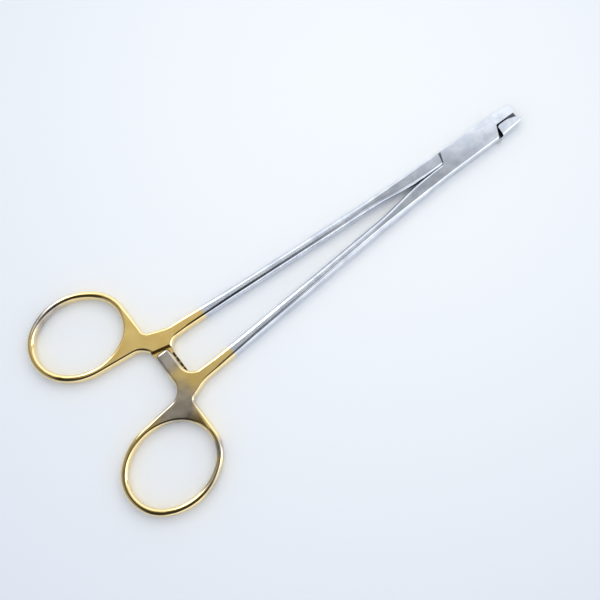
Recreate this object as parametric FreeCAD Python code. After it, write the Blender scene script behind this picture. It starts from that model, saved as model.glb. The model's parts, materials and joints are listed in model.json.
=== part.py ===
"""Locking surgical needle holder: two crossed forgings in a box lock, with ring handles and a ratchet.

Millimetres. +X points to the jaw tips and +Z is up. The instrument lies flat on Z = 0, and its
origin is under the middle of its length, on the line between the two halves.
Places are given as a distance back from the jaw tips and a distance out from the centre line.
"""
import FreeCAD, Part
import math
import os

# Whole instrument
overall_length = 180.0
box_height = 4.6
handle_height = 3.8

# Finger rings: an oval of four arcs in a rounded wire, turned so that the pair opens to the rear
ring_hole_length = 28.9
ring_hole_width = 23.9
ring_end_radius = 10.6
ring_wire = 2.3
ring_tilt = 6.5
ring_spread = 25.5
handle_rounding = 1.08

# Neck, where ring, ratchet bar and shank run together
neck_length = 12.5
neck_waist_back = 6.9
neck_waist_radius = 14.0
neck_corner_out = 13.3
neck_corner_radius = 2.0
rear_crook_slope = 0.11
rear_crook_radius = 5.0
inner_crook_radius = 4.0

# Ratchet: each half has a bar that reaches past the centre line, one above the other
bar_width = 5.0
bar_reach = 5.2
bar_rear_step = 1.65
bar_end_radius = 1.2
bar_front_shift = 0.9
tooth_count = 4
tooth_pitch = 2.0
tooth_depth = 0.6
tooth_land = 0.25
rack_gap = 0.1
rack_side_gap = 0.25
rack_end_gap = 0.35
rack_end_slant = 1.5

# Shanks: slender rounded bars that lie together just behind the lock
shank_width_at_neck = 3.9
shank_width_at_bend = 3.6
shank_inner_at_neck = 6.45
shank_inner_at_bend = 2.2
shank_rounding = 1.5
shank_rounding_length = 16.0
bend_to_lock = 29.0
bend_steps = 6
meeting_length = 4.0
shank_gap = 0.1

# Box lock
pivot_to_tip = 21.0
lock_half_width = 4.4
slot_radius = 11.3
slot_height = 1.9
tongue_clearance = 0.04
tongue_side_clearance = 0.1
plate_rear_outer = 9.5
plate_rear_inner = 11.5
plate_front_outer = 9.6
plate_front_inner = 12.0
plate_tail = 12.0
shoulder_rear_outer = 10.6
shoulder_rear_inner = 11.9
shoulder_front_outer = 11.65
shoulder_front_inner = 12.15
lock_rounding = 0.6
pin_radius = 1.75
pin_clearance = 0.03

# Jaws and their gripping plates
grip_line = -0.2
insert_thickness = 0.35
insert_recess = 0.3
insert_rear = 8.0
insert_front = 0.9
insert_flare_length = 3.5
insert_flare = 1.05
grip_gap_tip = 0.04
grip_gap_rear = 0.36
jaw_tip_half_width = 3.75
jaw_tip_height = 3.9
jaw_taper_start = 8.8
jaw_tip_radius = 1.2
nose_depth = 1.85

# How far a cutting shape runs past the metal
overrun = 1.0

# Two places closer than this are one
FLAT = 1e-4

# Values that follow from the sizes above
tilt = math.radians(ring_tilt)
hole_end_centre = ring_hole_length / 2 - ring_end_radius
ring_side_radius = (hole_end_centre**2 + (ring_hole_width / 2) ** 2 - ring_end_radius**2) / (
    ring_hole_width - 2 * ring_end_radius
)
hole_side_centre = ring_side_radius - ring_hole_width / 2
ring_reach_back = hole_end_centre * math.cos(tilt) + ring_end_radius + ring_wire
ring_back = overall_length - ring_reach_back
ring_front = ring_back - ring_reach_back
bar_rear = ring_front + bar_rear_step
bar_front = bar_rear - bar_width
neck_end = ring_front - neck_length
lock_rear = pivot_to_tip + plate_tail
shank_bend = lock_rear + bend_to_lock
shank_slope = (shank_inner_at_neck - shank_inner_at_bend) / (neck_end - shank_bend)


def at(back, out, z=0.0):
    """A point given by its distance back from the tips and out from the centre line."""
    return FreeCAD.Vector(overall_length / 2 - back, out, z)


def heading(back, out):
    """A direction in plan, in the same terms."""
    return FreeCAD.Vector(-back, out, 0)


def straight(*points):
    """Straight edges from point to point."""
    return [Part.makeLine(a, b) for a, b in zip(points, points[1:])]


def curve(start, end, start_heading, end_heading):
    """One smooth edge between two points, with its directions at both ends."""
    spline = Part.BSplineCurve()
    spline.interpolate(Points=[start, end], InitialTangent=start_heading, FinalTangent=end_heading)
    return spline.toShape()


def path(*stops):
    """Edges from the first stop to the last. Each stop is a corner and the radius it is rounded to."""
    edges = []
    start = stops[0][0]
    for before, (corner, radius), after in zip(stops, stops[1:], stops[2:]):
        if radius == 0:
            edges.append(Part.makeLine(start, corner))
            start = corner
            continue
        back = (before[0] - corner).normalize()
        on = (after[0] - corner).normalize()
        half = back.getAngle(on) / 2
        middle = (back + on).normalize()
        first = corner + back * (radius / math.tan(half))
        last = corner + on * (radius / math.tan(half))
        crest = corner + middle * (radius / math.sin(half) - radius)
        edges.append(Part.makeLine(start, first))
        edges.append(Part.Arc(first, crest, last).toShape())
        start = last
    edges.append(Part.makeLine(start, stops[-1][0]))
    return edges


def plate(edges, low, high):
    """A flat piece of the given plan outline between two heights."""
    face = Part.Face(Part.Wire(edges))
    face.translate(FreeCAD.Vector(0, 0, low))
    return face.extrude(FreeCAD.Vector(0, 0, high - low))


def ring_axes():
    """The directions along and across the tilted ring."""
    return heading(math.cos(tilt), math.sin(tilt)), heading(-math.sin(tilt), math.cos(tilt))


def ring_point(centre_along, centre_across, radius, direction):
    """The point of a ring's arc in one direction from the arc's centre."""
    along, across = ring_axes()
    centre = at(ring_back, ring_spread) + along * centre_along + across * centre_across
    return centre + direction * radius


def oval(wire, first=None, last=None):
    """The ring's four arcs, this far outside the finger hole, or the stretch from first to last."""
    along, across = ring_axes()
    lean = math.atan2(hole_side_centre, hole_end_centre)
    end = ring_end_radius + wire
    side = ring_side_radius + wire
    joints = []
    crests = []
    for back, out in ((-1, -1), (1, -1), (1, 1), (-1, 1)):
        direction = along * (back * math.cos(lean)) + across * (out * math.sin(lean))
        joints.append(ring_point(back * hole_end_centre, 0, end, direction))
    crests.append(ring_point(0, hole_side_centre, side, across * -1))
    crests.append(ring_point(hole_end_centre, 0, end, along))
    crests.append(ring_point(0, -hole_side_centre, side, across))
    crests.append(ring_point(-hole_end_centre, 0, end, along * -1))
    ends = joints + joints[:1]
    if first is None:
        return [Part.Arc(a, m, b).toShape() for a, m, b in zip(ends, crests, ends[1:])]
    start = Part.Circle(ring_point(0, hole_side_centre, 0, across), FreeCAD.Vector(0, 0, 1), side)
    stop = Part.Circle(ring_point(-hole_end_centre, 0, 0, along), FreeCAD.Vector(0, 0, 1), end)
    arcs = [part_of(start, first, joints[1])]
    arcs += [Part.Arc(a, m, b).toShape() for a, m, b in zip(joints[1:], crests[1:3], joints[2:])]
    return arcs + [part_of(stop, joints[3], last)]


def part_of(circle, start, end):
    """The short arc of a circle between two of its points."""
    middle = (start + end) / 2 - circle.Center
    return Part.Arc(start, circle.Center + middle.normalize() * circle.Radius, end).toShape()


def handle(front_shift):
    """Ring, neck and ratchet bar of one forging, on the +Y side, its bar in the lower half."""
    top = handle_height / 2
    bar_nose = bar_front - front_shift
    end = -bar_reach
    shank_inner = at(neck_end, shank_inner_at_neck)
    shank_outer = at(neck_end, shank_inner_at_neck + shank_width_at_neck)
    waist = shank_outer + heading(1, shank_slope) * (neck_length - neck_waist_back)
    crook_down = heading(rear_crook_slope, -1).normalize()
    crook_start = ring_point(0, hole_side_centre, ring_side_radius + ring_wire, crook_down)
    drop = (crook_start.x - at(bar_rear, 0).x) * rear_crook_slope
    crook_corner = at(bar_rear, crook_start.y + drop)
    front_point = ring_point(-hole_end_centre, 0, ring_end_radius + ring_wire, heading(-1, 0))
    outline = path(
        (front_point, 0),
        (at(ring_front, neck_corner_out), neck_corner_radius),
        (waist, neck_waist_radius),
        (shank_outer, 0),
        (shank_inner, 0),
        (at(bar_nose, shank_inner_at_neck), inner_crook_radius),
        (at(bar_nose, end), bar_end_radius),
        (at(bar_rear, end), bar_end_radius),
        (crook_corner, rear_crook_radius),
        (crook_start, 0),
    )
    outline += oval(ring_wire, crook_start, front_point)
    return eased(plate(outline, -top, top).cut(plate(oval(0), -top, top)), shank_inner.x)


def eased(body, shank_end):
    """Rounds a handle's rims with three narrow facets each, tangent to the arc that they stand for."""
    top = handle_height / 2
    first = handle_rounding * (2 - math.sqrt(2))
    second = handle_rounding * (math.tan(math.pi / 8) - math.tan(math.pi / 16))
    body = body.makeChamfer(first, level_edges(body, [top], shank_end))
    return body.makeChamfer(second, level_edges(body, [top, top - first], shank_end))


def level_edges(body, heights, shank_end):
    """The edges that lie level at these heights above or below the middle, but not at the shank's end."""
    found = []
    for edge in body.Edges:
        middle = edge.CenterOfMass
        level = abs(edge.tangentAt(edge.FirstParameter).z) < FLAT
        at_height = min(abs(abs(middle.z) - height) for height in heights) < FLAT
        if level and at_height and middle.x < shank_end - FLAT:
            found.append(edge)
    return found


def rack(body):
    """Cuts a handle's bar down to its lower half and saws the ratchet teeth in it."""
    top = handle_height
    front = bar_front - bar_front_shift - rack_side_gap
    rear = bar_rear + rack_side_gap
    step = bar_reach + rack_end_gap
    past = -2 * bar_reach
    face = -rack_gap / 2
    above = plate(
        straight(
            at(front, past),
            at(front, step),
            at(rear, step + rack_end_slant),
            at(rear, past),
            at(front, past),
        ),
        face,
        top,
    )
    body = body.cut(above)
    for i in range(tooth_count):
        steep = bar_reach - bar_end_radius / 2 - i * tooth_pitch
        ramp = steep - tooth_pitch + tooth_land
        tooth = Part.Face(
            Part.makePolygon(
                [
                    at(front, -steep, face),
                    at(front, -steep, face - tooth_depth),
                    at(front, -ramp, face),
                    at(front, -steep, face),
                ]
            )
        ).extrude(at(rear, 0) - at(front, 0))
        body = body.cut(tooth)
    return body


def section(back, inner, outer):
    """The rounded section of a shank, between its inner and outer sides."""
    share = min((neck_end - back) / (neck_end - lock_rear), 1)
    half = (handle_height + (box_height - handle_height) * share) / 2
    grown = min((neck_end - back) / shank_rounding_length, 1)
    spent = min(max((shank_bend - back) / bend_to_lock, 0), 1)
    rounding = handle_rounding + (shank_rounding - handle_rounding) * grown
    rounding += (lock_rounding - shank_rounding) * spent
    start = at(back, (inner + outer) / 2, -half)
    return Part.Wire(
        path(
            (start, 0),
            (at(back, outer, -half), rounding),
            (at(back, outer, half), rounding),
            (at(back, inner, half), rounding),
            (at(back, inner, -half), rounding),
            (start, 0),
        )
    )


def shank(front_end):
    """The bar from the neck to the lock, on the +Y side, thickening towards the lock."""
    root = shank_gap / 2
    stations = []
    for back in (neck_end, neck_end - shank_rounding_length, shank_bend):
        inner = shank_inner_at_bend + shank_slope * (back - shank_bend)
        share = (back - shank_bend) / (neck_end - shank_bend)
        width = shank_width_at_bend + (shank_width_at_neck - shank_width_at_bend) * share
        stations.append(section(back, inner, inner + width))
    outer_at_bend = shank_inner_at_bend + shank_width_at_bend
    for step in range(1, bend_steps + 1):
        back = shank_bend - (bend_to_lock - meeting_length) * step / bend_steps
        share = step / bend_steps
        ease = share * share * (3 - 2 * share)
        inner = (shank_inner_at_bend + shank_slope * (back - shank_bend)) * (1 - ease) + root * ease
        gone = (shank_bend - back) / bend_to_lock
        stations.append(section(back, inner, outer_at_bend + (lock_half_width - outer_at_bend) * gone))
    stations.append(section(lock_rear, root, lock_half_width))
    if front_end < lock_rear:
        stations.append(section(front_end, root, lock_half_width))
    return Part.makeLoft(stations, True, True)


def wedges(recess):
    """Two thin wedges that taper the jaws towards the tip, above and below."""
    drop = (box_height - jaw_tip_height) / 2
    high = box_height / 2 - recess
    reach = 2 * lock_half_width
    side = Part.Face(
        Part.makePolygon(
            [
                at(jaw_taper_start, -reach, high),
                at(0, -reach, high - drop),
                at(-overrun, -reach, high - drop),
                at(-overrun, -reach, box_height),
                at(jaw_taper_start, -reach, box_height),
                at(jaw_taper_start, -reach, high),
            ]
        )
    )
    above = side.extrude(FreeCAD.Vector(0, 2 * reach, 0))
    below = above.mirror(FreeCAD.Vector(0, 0, 0), FreeCAD.Vector(0, 0, 1))
    return above, below


def taper(body, recess=0.0):
    for wedge in wedges(recess):
        body = body.cut(wedge)
    return body


def round_outside(body):
    """Rounds the long outer edges of the lock and the jaw, above and below, and the tip's edge."""
    inside = jaw_tip_half_width - jaw_tip_radius
    low = jaw_tip_height / 2 - FLAT
    rims = []
    for edge in body.Edges:
        middle = edge.CenterOfMass
        run = edge.tangentAt(edge.FirstParameter)
        lengthways = abs(run.x) > abs(run.y) and abs(run.x) > abs(run.z)
        if lengthways and abs(middle.z) > low and abs(middle.y) > inside:
            rims.append(edge)
    return body.makeFillet(lock_rounding, rims)


def box_and_jaw():
    """The box with its slot, and the jaw that grows out of it on the +Y side."""
    side = lock_half_width
    top = box_height / 2
    plate_face = grip_line + insert_thickness
    plate_corner = at(pivot_to_tip - plate_front_outer, -side)
    plate_end = at(pivot_to_tip - plate_front_inner, grip_line)
    throat_end = at(insert_rear, plate_face)
    outline = path(
        (at(lock_rear, -shank_gap / 2), 0),
        (at(lock_rear, -side), 0),
        (plate_corner, 0),
        (plate_end, 0),
    )
    outline.append(curve(plate_end, throat_end, plate_end - plate_corner, heading(-1, 0)))
    outline += path(
        (throat_end, 0),
        (at(insert_front, plate_face), 0),
        (at(0, plate_face + insert_thickness), 0),
        (at(0, jaw_tip_half_width), jaw_tip_radius),
        (at(pivot_to_tip - plate_front_inner, side), 0),
        (at(pivot_to_tip + plate_rear_outer, side), 0),
        (at(pivot_to_tip + plate_rear_inner, -grip_line), 0),
        (at(lock_rear, -shank_gap / 2), 0),
    )
    body = round_outside(taper(plate(outline, -top, top)))
    pin_hole = Part.makeCylinder(pin_radius, box_height, at(pivot_to_tip, 0, -top))
    return body.cut([slot(), pin_hole])


def slot():
    """The space in the box that the tongue swings in, open on both sides."""
    low = -slot_height / 2
    away = 2 * slot_radius
    clear = tongue_side_clearance
    swing = Part.makeCylinder(slot_radius, slot_height, at(pivot_to_tip, 0, low))
    mouth = Part.makeCylinder(plate_front_inner + clear, slot_height, at(pivot_to_tip, 0, low))
    front_mouth = Part.makeBox(away, away, slot_height, at(pivot_to_tip, grip_line - away + clear, low))
    rear_mouth = Part.makeBox(away, away, slot_height, at(pivot_to_tip + away, clear, low))
    return swing.fuse([mouth.common(front_mouth), mouth.common(rear_mouth)])


def tongue():
    """The flat middle of the other half, which fills the slot between its two shoulders."""
    high = slot_height / 2 - tongue_clearance
    side = lock_half_width - tongue_side_clearance / 2
    swing = Part.makeCylinder(slot_radius - tongue_side_clearance, 2 * high, at(pivot_to_tip, 0, -high))
    away = 2 * slot_radius
    strip = Part.makeBox(2 * away, 2 * side, 2 * high, at(pivot_to_tip + away, -side, -high))
    front_neck = plate(
        straight(
            at(pivot_to_tip, grip_line),
            at(insert_rear, grip_line - insert_thickness),
            at(pivot_to_tip - shoulder_front_outer, -side),
            at(pivot_to_tip, -side),
            at(pivot_to_tip, grip_line),
        ),
        -high,
        high,
    )
    rear_neck = plate(
        straight(
            at(pivot_to_tip, shank_gap + tongue_side_clearance),
            at(lock_rear, shank_gap + tongue_side_clearance),
            at(lock_rear, side),
            at(pivot_to_tip, side),
            at(pivot_to_tip, shank_gap + tongue_side_clearance),
        ),
        -high,
        high,
    )
    return swing.common(strip).fuse([front_neck, rear_neck])


def through_jaw():
    """The jaw on the -Y side, from the shoulder in front of the box to its blunt nose."""
    top = box_height / 2
    plate_face = grip_line - insert_thickness
    outline = path(
        (at(insert_rear, plate_face), 0),
        (at(pivot_to_tip - shoulder_front_inner, plate_face - insert_thickness), 0),
        (at(pivot_to_tip - shoulder_front_outer, -lock_half_width), 0),
        (at(0, -jaw_tip_half_width), jaw_tip_radius),
        (at(0, grip_line - nose_depth), 0),
        (at(insert_front, plate_face - insert_flare), 0),
        (at(insert_front + insert_flare_length, plate_face), 0),
        (at(insert_rear, plate_face), 0),
    )
    return round_outside(taper(plate(outline, -top, top)))


def shoulder():
    """What is cut away from the through half's shank in front of its rear shoulder."""
    wide = 2 * lock_half_width
    rise = (shoulder_rear_inner - shoulder_rear_outer) / lock_half_width
    return plate(
        straight(
            at(pivot_to_tip + shoulder_rear_inner, 0),
            at(pivot_to_tip + shoulder_rear_inner - rise * wide, wide),
            at(0, wide),
            at(0, -wide),
            at(pivot_to_tip + shoulder_rear_inner, -wide),
            at(pivot_to_tip + shoulder_rear_inner, 0),
        ),
        -box_height,
        box_height,
    )


def insert(side, flare):
    """A gripping plate, on the jaw at +Y (side 1) or at -Y (side -1), thicker at its tip by the flare."""
    back_face = grip_line + side * insert_thickness
    high = box_height / 2 - insert_recess
    outline = path(
        (at(insert_rear, back_face), 0),
        (at(insert_front + insert_flare_length, back_face), 0),
        (at(insert_front, back_face + side * flare), 0),
        (at(insert_front, grip_line + side * grip_gap_tip / 2), 0),
        (at(insert_rear, grip_line + side * grip_gap_rear / 2), 0),
        (at(insert_rear, back_face), 0),
    )
    return taper(plate(outline, -high, high), insert_recess)


def lifted(body):
    """Sets a finished piece on Z = 0: the pieces are modelled about the middle of their height."""
    body = body.copy()
    body.translate(FreeCAD.Vector(0, 0, box_height / 2))
    return body


def turned_over(body):
    """The other half's handle is the same forging turned over about the centre line."""
    return body.rotate(FreeCAD.Vector(0, 0, 0), FreeCAD.Vector(1, 0, 0), 180)


def box_half():
    upper = turned_over(rack(handle(0.0)).fuse(shank(lock_rear)))
    return upper.fuse(box_and_jaw()).removeSplitter()


def through_half():
    handle_end = rack(handle(bar_front_shift))
    rear = handle_end.fuse(shank(pivot_to_tip + plate_rear_outer).cut(shoulder()))
    body = rear.fuse([tongue(), through_jaw()]).removeSplitter()
    bore = Part.makeCylinder(pin_radius + pin_clearance, box_height, at(pivot_to_tip, 0, -box_height / 2))
    return body.cut(bore)


def pivot_pin():
    return Part.makeCylinder(pin_radius, box_height, at(pivot_to_tip, 0, -box_height / 2))


pieces = {
    "box_half": box_half(),
    "through_half": through_half(),
    "pivot_pin": pivot_pin(),
    "box_jaw_insert": insert(1, 0.0),
    "through_jaw_insert": insert(-1, insert_flare),
}
os.makedirs("parts", exist_ok=True)
for name, shape in pieces.items():
    lifted(shape).exportStep("parts/" + name + ".step")
    print(name, len(shape.Solids), shape.isValid(), round(shape.Volume, 2))
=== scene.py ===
"""A locking surgical needle holder: satin steel, a box lock, carbide jaw plates and gilt finger rings.

Metres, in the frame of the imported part: +X to the jaw tips, +Z up, the instrument lying on Z = 0.
"""

import json
import math

import bpy
from mathutils import Matrix, Vector


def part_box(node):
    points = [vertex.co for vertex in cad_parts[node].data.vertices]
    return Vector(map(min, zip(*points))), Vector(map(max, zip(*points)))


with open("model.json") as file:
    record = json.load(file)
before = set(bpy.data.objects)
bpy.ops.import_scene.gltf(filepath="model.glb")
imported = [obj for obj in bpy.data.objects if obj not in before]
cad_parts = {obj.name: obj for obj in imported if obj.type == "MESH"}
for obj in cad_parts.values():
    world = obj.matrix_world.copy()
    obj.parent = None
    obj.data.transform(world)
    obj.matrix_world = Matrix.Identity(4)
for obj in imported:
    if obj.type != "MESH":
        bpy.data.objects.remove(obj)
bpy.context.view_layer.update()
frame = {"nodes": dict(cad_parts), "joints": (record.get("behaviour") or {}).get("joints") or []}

# The camera
# It stands over the instrument, leaning a little towards the rings, and is turned so that the
# jaws point to the upper right of the picture.
aim = Vector((-0.0105, -0.0083, 0.0046))
stand_off = 0.2891
lean = math.radians(16.81)
lean_towards = math.atan2(-0.763, -0.646)
picture_turn = math.radians(92.45)
focal_length = 54.0
sensor = 36.0
nearest_seen = 0.01

sideways = Vector((math.cos(lean_towards), math.sin(lean_towards), 0))
back = sideways * math.sin(lean) + Vector((0, 0, math.cos(lean)))
away = sideways * math.cos(lean) - Vector((0, 0, math.sin(lean)))
across = away.cross(back)
right = away * math.cos(picture_turn) - across * math.sin(picture_turn)
up = back.cross(right)
axes = Matrix((right, up, back)).transposed().to_4x4()

camera = bpy.data.objects.new("camera", bpy.data.cameras.new("camera"))
camera.data.lens = focal_length
camera.data.sensor_width = sensor
camera.data.clip_start = nearest_seen
camera.matrix_world = Matrix.Translation(aim + back * stand_off) @ axes
bpy.context.scene.collection.objects.link(camera)
bpy.context.scene.camera = camera
bpy.context.scene.view_settings.view_transform = "Standard"


# The table, the room and the lamp
# A pale table takes the instrument's soft shadow. The polished metal mirrors the room: a bright
# wall and window beyond the jaws, one side wall lit and the other dim, and a dark end behind the
# camera. Only metal sees the room, and the table is lit by a plain fill light and one lamp.
class Level:
    """A number, colour or vector in a node tree. Arithmetic on it adds the nodes that do it."""

    def __init__(self, tree, socket=None):
        self.tree = tree
        self.socket = socket

    def node(self, kind, output=0, settings=None, **sockets):
        """Adds a node and gives one of its outputs. The settings come before the sockets' values or
        links. A socket goes by its name, with _ for a space, or by its number, as in i0."""
        made = self.tree.nodes.new(kind)
        for name, value in (settings or {}).items():
            if name == "stops":
                while len(made.color_ramp.elements) < len(value):
                    made.color_ramp.elements.new(1.0)
                for element, (place, colour) in zip(made.color_ramp.elements, value):
                    element.position = place
                    element.color = colour
            else:
                setattr(made, name, value)
        for name, value in sockets.items():
            key = int(name[1:]) if name[1:].isdigit() else name.replace("_", " ")
            if isinstance(value, Level):
                self.tree.links.new(value.socket, made.inputs[key])
            else:
                made.inputs[key].default_value = value
        return Level(self.tree, made.outputs[output]) if made.outputs else None

    def maths(self, operation, a, b=0.0):
        return self.node("ShaderNodeMath", 0, {"operation": operation}, i0=a, i1=b)

    def __add__(self, other):
        return self.maths("ADD", self, other)

    def __radd__(self, other):
        return self.maths("ADD", other, self)

    def __sub__(self, other):
        return self.maths("SUBTRACT", self, other)

    def __rsub__(self, other):
        return self.maths("SUBTRACT", other, self)

    def __mul__(self, other):
        return self.maths("MULTIPLY", self, other)

    def __rmul__(self, other):
        return self.maths("MULTIPLY", other, self)

    def __truediv__(self, other):
        return self.maths("DIVIDE", self, other)

    def __abs__(self):
        return self.maths("ABSOLUTE", self)

    def between(self, low, high):
        """0 below low, 1 above high and a smooth step from one to the other."""
        settings = {"interpolation_type": "SMOOTHSTEP"}
        return self.node("ShaderNodeMapRange", 0, settings, Value=self, From_Min=low, From_Max=high)

    def mixed(self, nothing, full):
        """One colour where this is 0, and another where it is 1."""
        return self.node("ShaderNodeMix", 2, {"data_type": "RGBA"}, i0=self, i6=nothing, i7=full)

    def tinted(self, other):
        """This colour times another."""
        settings = {"data_type": "RGBA", "blend_type": "MULTIPLY"}
        return self.node("ShaderNodeMix", 2, settings, i0=1.0, i6=self, i7=other)

    def part(self, axis):
        """One coordinate of a place or a direction."""
        return self.node("ShaderNodeSeparateXYZ", axis, Vector=self)

    def along(self, direction):
        """How far this vector reaches in a direction."""
        settings = {"operation": "DOT_PRODUCT"}
        return self.node("ShaderNodeVectorMath", "Value", settings, i0=self, i1=direction)

    def distance(self, point):
        """How far this place is from a point."""
        settings = {"operation": "DISTANCE"}
        return self.node("ShaderNodeVectorMath", "Value", settings, i0=self, i1=point)


def grey(value):
    return (value, value, value, 1.0)


def new_finish(name):
    """An empty material, and the level through which its nodes are added."""
    finish = bpy.data.materials.new(name)
    finish.use_nodes = True
    finish.node_tree.nodes.clear()
    return finish, Level(finish.node_tree)


table_colour = (0.93, 0.96, 1.0, 1.0)
table_half = 3.0
fill_colour = (0.81, 0.87, 1.0, 1.0)
fill_strength = 0.765
lamp_colour = (1.0, 0.91, 0.67)
lamp_power = 0.255
lamp_size = 0.30
lamp_height = 0.20
lamp_forward = 0.08
lamp_aside = 0.02
room_tint = (0.93, 0.965, 1.0, 1.0)

# The brightness of the room, from straight behind the camera, at 0, through overhead, at 0.5, to
# straight ahead, at 1
dark_end = [(0.0, grey(0.08)), (0.2, grey(0.03)), (0.5, grey(0.035))]
ceiling = [(0.56, grey(0.14)), (0.585, grey(0.38)), (0.60, grey(0.62)), (0.63, grey(0.75))]
far_wall = [(0.66, grey(0.58)), (0.70, grey(0.60)), (0.738, grey(1.3)), (1.0, grey(1.3))]

# The side walls, the foot of the walls and the window: how bright each is, and how far a ray
# has to point a certain way, from -1 to 1, for it to begin and to be in full
lit_glow = grey(2.8)
lit_across = (0.28, 0.5)
lit_start = (-0.35, 0.05)
lit_end = (0.30, 0.40)
dim_glow = grey(0.35)
dim_across = (0.35, 0.6)
foot_glow = grey(1.25)
foot_height = (0.0, 0.22)
foot_slope = 0.9
foot_end = (-0.2, 0.4)
window_glow = 5.0
window_turn = math.radians(49)
window_edge = (0.09, 0.19)
window_start = (0.42, 0.6)

ahead = -sideways
beside = Vector((-sideways.y, sideways.x, 0))
to_window = ahead * math.sin(window_turn) - beside * math.cos(window_turn)
past_window = ahead * math.cos(window_turn) + beside * math.sin(window_turn)

room = bpy.data.worlds.new("room")
room.use_nodes = True
room.node_tree.nodes.clear()
view = Level(room.node_tree).node("ShaderNodeTexCoord", "Generated")
forward = view.along(ahead)
brightness = {"stops": dark_end + ceiling + far_wall}
walls = view.node("ShaderNodeValToRGB", 0, brightness, Fac=(forward + 1) / 2)
lit_side = view.along(beside).between(*lit_across) * forward.between(*lit_start)
lit_side = lit_side * (1 - forward.between(*lit_end))
dim_side = view.along(-beside).between(*dim_across)
sides = dim_side.mixed(lit_side.mixed(walls, lit_glow), dim_glow)
foot = 1 - (view.along((0.0, 0.0, 1.0)) - view.along(beside) * foot_slope).between(*foot_height)
foot = foot * (1 - forward.between(*foot_end))
window = 1 - abs(view.along(past_window)).between(*window_edge)
window = window * view.along(to_window).between(*window_start)
seen = foot.mixed(sides, foot_glow).tinted(room_tint)
mirrored = view.node("ShaderNodeBackground", Color=seen, Strength=1 + window * window_glow)
fill = view.node("ShaderNodeBackground", Color=fill_colour, Strength=fill_strength)
glossy = view.node("ShaderNodeLightPath", "Is Glossy Ray")
shown = view.node("ShaderNodeMixShader", Fac=glossy, i1=fill, i2=mirrored)
view.node("ShaderNodeOutputWorld", Surface=shown)
bpy.context.scene.world = room

lamp = bpy.data.objects.new("lamp", bpy.data.lights.new("lamp", "AREA"))
lamp.data.energy = lamp_power
lamp.data.color = lamp_colour
lamp.data.size = lamp_size
lamp.location = aim + ahead * lamp_forward + beside * lamp_aside + Vector((0, 0, lamp_height))
lamp.visible_glossy = False
lamp.visible_camera = False
bpy.context.scene.collection.objects.link(lamp)

corners = [(-table_half, -table_half, 0), (table_half, -table_half, 0)]
corners += [(table_half, table_half, 0), (-table_half, table_half, 0)]
top = bpy.data.meshes.new("table")
top.from_pydata(corners, [], [(0, 1, 2, 3)])
paint, coat = new_finish("table")
coat.node("ShaderNodeOutputMaterial", Surface=coat.node("ShaderNodeBsdfDiffuse", Color=table_colour))
top.materials.append(paint)
table = bpy.data.objects.new("table", top)
bpy.context.scene.collection.objects.link(table)

# The two forgings
# Each half is one forging of stainless steel, ground satin on its flats and polished on its
# edges. The rings, the necks and the rear ends of the shanks are gold plated, and the plating
# has worn through to grey metal where the bars and the fingers rub.
steel_light = (0.76, 0.785, 0.84, 1.0)
steel_dark = (0.62, 0.65, 0.72, 1.0)
gilt_light = (0.99, 0.71, 0.26, 1.0)
gilt_deep = (0.94, 0.64, 0.21, 1.0)
# A paler gilt that the rounded edges are painted, a painted highlight
gilt_rim_highlight = (1.0, 0.80, 0.42, 1.0)
worn_light = (0.57, 0.53, 0.49, 1.0)
worn_dark = (0.38, 0.345, 0.32, 1.0)
# A near black, painted shade on the end faces and at the shoulders of the slot
painted_shade_dark = (0.11, 0.115, 0.13, 1.0)
# A darker steel for the tongue in the slot, part its machined finish and part painted shade
tongue_machined_and_shaded = (0.42, 0.43, 0.46, 1.0)

# Ground steel: soft clouds, a fine grain along the piece and flats that fall away to their sides
cloud_scale = 210.0
cloud_share = 0.85
cloud_range = (0.35, 0.65)
tone_range = (0.36, 0.64)
grain_stretch = (45.0, 2200.0, 2200.0)
grain_height = 0.0000006
crown = 9.0
crown_middle = 0.0005
crown_start = (0.04, 0.05)

# Where each finish starts or ends, along the piece. The rings start at a distance from its middle
# line, the tongue at a height from the middle of the lock, and its shoulders at one from the pin.
gilt_end = (-0.0384, -0.0368)
gilt_waver = 0.0022
shank_start = (-0.047, -0.040)
shank_end = (0.020, 0.035)
ring_start = (0.0135, 0.0165)
darker_flats_start = (0.018, 0.032)
darker_flats_end = (0.050, 0.078)
darker_flats_depth = 0.34
end_face_start = (0.03, 0.04)
tongue_start = (0.046, 0.048)
tongue_height = (0.001, 0.0013)
shoulder_start = (0.0068, 0.0098)

# How far a face has to turn up or endwise, from 0 to 1, to be one of these
ground_flat = (0.99, 0.999)
eased_flat = (0.97, 0.998)
slot_flat = (0.9, 0.99)
end_face = (0.6, 0.8)

# How satin the steel is, and how much of that the gilding and the wear take or add
polish = 0.06
satin = 0.14
gilt_polish = 0.08
worn_satin = 0.06
cloud_satin = 0.05
grain_satin = 0.04

# The rubbed places: the middle, the radius and how far the gilding is worn
wear_scale = 260.0
wear_waver = 0.5
wear_edge = (0.4, 1.15)
wear_range = (0.3, 0.7)
bar_end = ((-0.0562, 0.0038, 0.0042), 0.0078, 0.9)
lower_neck = ((-0.0622, -0.0118, 0.0042), 0.0092, 0.8)
lower_rim = ((-0.0655, -0.0368, 0.003), 0.0075, 0.55)
lower_side = ((-0.058, -0.031, 0.003), 0.0045, 0.85)
upper_rim = ((-0.0785, 0.0392, 0.003), 0.0095, 0.9)

lock = Vector(frame["joints"][0]["pos_m"])


def ground_steel(place, dark, light):
    """The clouds and the grain of ground steel, from 0 to 1, and its colour."""
    cloud = place.node("ShaderNodeTexNoise", Vector=place, Scale=cloud_scale, Detail=3.0)
    stretched = place.node("ShaderNodeMapping", Vector=place, Scale=grain_stretch)
    grain = place.node("ShaderNodeTexNoise", Vector=stretched, Scale=1.0, Detail=2.0)
    tone = cloud * cloud_share + grain * (1 - cloud_share)
    return cloud, grain, tone.between(*tone_range).mixed(dark, light)


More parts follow.
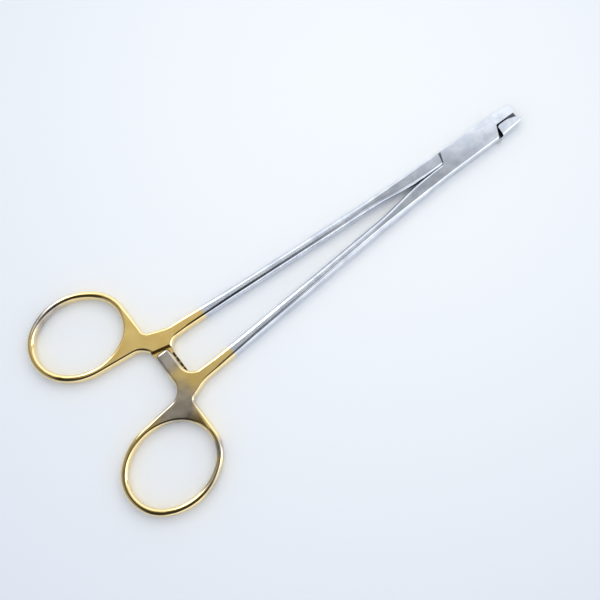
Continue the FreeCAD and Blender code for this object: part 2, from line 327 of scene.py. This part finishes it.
def crowning(place):
    """How far the flats of the lock and the jaws fall away from their middle line."""
    side = place.part("Y") - crown_middle
    return side * side * crown * place.part("X").between(*crown_start)


def metal_surface(colour, roughness, relief):
    """Ends a finish in bare metal."""
    sockets = {"Base_Color": colour, "Metallic": 1.0, "Roughness": roughness, "Normal": relief}
    shader = colour.node("ShaderNodeBsdfPrincipled", **sockets)
    colour.node("ShaderNodeOutputMaterial", Surface=shader)


def forging_finish(name, rubbed):
    """Satin steel with gilt handles, worn at the rubbed places."""
    finish, metal = new_finish(name)
    place = metal.node("ShaderNodeTexCoord", "Object")
    x = place.part("X")
    cloud, grain, steel = ground_steel(place, steel_dark, steel_light)
    blotches = metal.node("ShaderNodeTexNoise", Vector=place, Scale=wear_scale, Detail=3.0)

    # The broad flats are shaded as flats, and the rounded shanks and rings as rounds
    curved = metal.node("ShaderNodeNewGeometry", "Normal")
    faceted = metal.node("ShaderNodeNewGeometry", "True Normal")
    shank = x.between(*shank_start) * (1 - x.between(*shank_end))
    broad = (1 - shank) * (1 - abs(place.part("Y")).between(*ring_start))
    lying = abs(faceted.part("Z"))
    share = lying.between(*ground_flat) * broad
    facing = metal.node("ShaderNodeMix", 1, {"data_type": "VECTOR"}, i0=share, i4=curved, i5=faceted)
    flat = abs(facing.part("Z")).between(*eased_flat)

    # The flats beside the lock are painted darker, and painted shade darkens the end faces and the
    # slot
    darker_flats = 1 - flat * x.between(*darker_flats_start) * (1 - x.between(*darker_flats_end)) * darker_flats_depth
    end = abs(faceted.part("X")).between(*end_face) * x.between(*end_face_start)
    in_slot = 1 - abs(place.part("Z") - lock.z).between(*tongue_height)
    tongue = in_slot * lying.between(*slot_flat) * x.between(*tongue_start)
    # The painted shade on the tongue deepens to near black towards the shoulders of the slot
    shoulder = abs(x - lock.x).between(*shoulder_start)
    outside = end.mixed(steel.tinted(darker_flats), painted_shade_dark)
    steel = tongue.mixed(outside, shoulder.mixed(tongue_machined_and_shaded, painted_shade_dark))

    # The gilding lies behind a wavering line, and the rubbed places show through it
    # The rounded edges of the gilding are painted a paler cream, a painted highlight
    gilt_and_rim_highlight = flat.mixed(gilt_rim_highlight, cloud.between(*cloud_range).mixed(gilt_deep, gilt_light))
    bared = 0.0
    for middle, radius, depth in rubbed:
        reach = place.distance(middle) / radius + (blotches - 0.5) * wear_waver
        bared = metal.maths("MAXIMUM", bared, (1 - reach.between(*wear_edge)) * depth)
    worn = blotches.between(*wear_range).mixed(worn_dark, worn_light)
    rear = 1 - (x + (blotches - 0.5) * gilt_waver).between(*gilt_end)
    colour = rear.mixed(steel, bared.mixed(gilt_and_rim_highlight, worn))

    roughness = flat * (satin - rear * gilt_polish + cloud * cloud_satin) + polish
    roughness = roughness + grain * grain_satin + bared * rear * worn_satin
    height = grain * grain_height * (1 - shank) - crowning(place)
    relief = metal.node("ShaderNodeBump", Height=height, Distance=1.0, Normal=facing)
    metal_surface(colour, roughness, relief)
    return finish


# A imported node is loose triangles. These modifiers weld them and shade its blunt edges as rounds,
# and the mesh itself stays as it is.
weld_distance = 0.000002
widest_rounding = math.radians(38)

rounding = bpy.data.node_groups.new("rounding", "GeometryNodeTree")
rounding.interface.new_socket("Geometry", in_out="INPUT", socket_type="NodeSocketGeometry")
widest = rounding.interface.new_socket("Widest", in_out="INPUT", socket_type="NodeSocketFloat")
rounding.interface.new_socket("Geometry", in_out="OUTPUT", socket_type="NodeSocketGeometry")
shape = Level(rounding).node("NodeGroupInput", "Geometry")
limit = shape.node("NodeGroupInput", "Widest")
angle = shape.node("GeometryNodeInputMeshEdgeAngle")
settings = {"data_type": "FLOAT", "operation": "LESS_THAN"}
blunt = shape.node("FunctionNodeCompare", 0, settings, i0=angle, i1=limit)
faces = shape.node("GeometryNodeSetShadeSmooth", Geometry=shape)
settings = {"domain": "EDGE"}
edges = shape.node("GeometryNodeSetShadeSmooth", 0, settings, Geometry=faces, Shade_Smooth=blunt)
shape.node("NodeGroupOutput", i0=edges)


def dressed(name, finish):
    """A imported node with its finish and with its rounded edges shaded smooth."""
    piece = frame["nodes"][name]
    piece.data.materials.clear()
    piece.data.materials.append(finish)
    weld = piece.modifiers.new("weld", "WELD")
    weld.merge_threshold = weld_distance
    smooth = piece.modifiers.new("rounding", "NODES")
    smooth.node_group = rounding
    smooth[widest.identifier] = widest_rounding
    weighted = piece.modifiers.new("weighted", "WEIGHTED_NORMAL")
    weighted.keep_sharp = True
    weighted.mode = "FACE_AREA"
    return piece


box_finish = forging_finish("forging_box", [bar_end, lower_neck, lower_rim, lower_side])
through_finish = forging_finish("forging_through", [upper_rim])
dressed("box_half", box_finish)
dressed("through_half", through_finish)

# The pivot pin
# A rivet of the same steel, pressed into the box and ground flush with it. Grinding has left its
# round edge as a faint line.
pin_light = (0.71, 0.745, 0.82, 1.0)
pin_dark = (0.57, 0.605, 0.68, 1.0)
line_colour = (0.40, 0.42, 0.47, 1.0)
line_width = 0.00012
line_strength = 0.35
pin_satin = 0.20

pin_low, pin_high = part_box("pivot_pin")
pin_radius = (pin_high[0] - pin_low[0]) / 2
pin_finish, pin_metal = new_finish("pin")
place = pin_metal.node("ShaderNodeTexCoord", "Object")
settings = {"operation": "MULTIPLY"}
in_plan = place.node("ShaderNodeVectorMath", 0, settings, i0=place, i1=(1.0, 1.0, 0.0))
line = in_plan.distance((lock.x, lock.y, 0.0)).between(pin_radius - line_width, pin_radius)
cloud, grain, steel = ground_steel(place, pin_dark, pin_light)
colour = (line * line_strength).mixed(steel, line_colour)
roughness = pin_satin + cloud * cloud_satin + grain * grain_satin
height = grain * grain_height - crowning(place)
relief = place.node("ShaderNodeBump", Height=height, Distance=1.0)
metal_surface(colour, roughness, relief)
dressed("pivot_pin", pin_finish)

# The jaw plates
# Sintered tungsten carbide, darker than the steel, brazed to the inside of each jaw. Its gripping
# face is cut with two sets of fine grooves that cross.
carbide_light = (0.14, 0.145, 0.16, 1.0)
carbide_dark = (0.065, 0.067, 0.075, 1.0)
carbide_satin = 0.50
carbide_polish = 0.15
speck_scale = 5200.0
speck_height = 0.06
groove_pitch = 0.0005
groove_depth = 0.00012
# How much darker the groove bottoms are painted, as painted shade
groove_shade = 0.7
groove_face = (0.9, 0.95)

carbide, grit = new_finish("carbide")
place = grit.node("ShaderNodeTexCoord", "Object")
inward = abs(grit.node("ShaderNodeTexCoord", "Normal").part("Y"))
x = place.part("X")
z = place.part("Z")
specks = grit.node("ShaderNodeTexNoise", Vector=place, Scale=speck_scale, Detail=3.0)
rising = grit.maths("PINGPONG", (x + z) / groove_pitch, 0.5)
falling = grit.maths("PINGPONG", (x - z) / groove_pitch, 0.5)
grooved = inward.between(*groove_face)
points = grit.maths("MINIMUM", rising, falling) * 2 * grooved
# The bottoms of the grooves are painted darker, as painted shade, over the specks' own tone
specks_and_groove_shade = specks.between(*cloud_range) * (1 - grooved * (1 - points) * groove_shade)
colour = specks_and_groove_shade.mixed(carbide_dark, carbide_light)
roughness = carbide_satin - specks_and_groove_shade * carbide_polish
height = points + specks * speck_height
relief = grit.node("ShaderNodeBump", Height=height, Distance=groove_depth)
metal_surface(colour, roughness, relief)
dressed("box_jaw_insert", carbide)
dressed("through_jaw_insert", carbide)
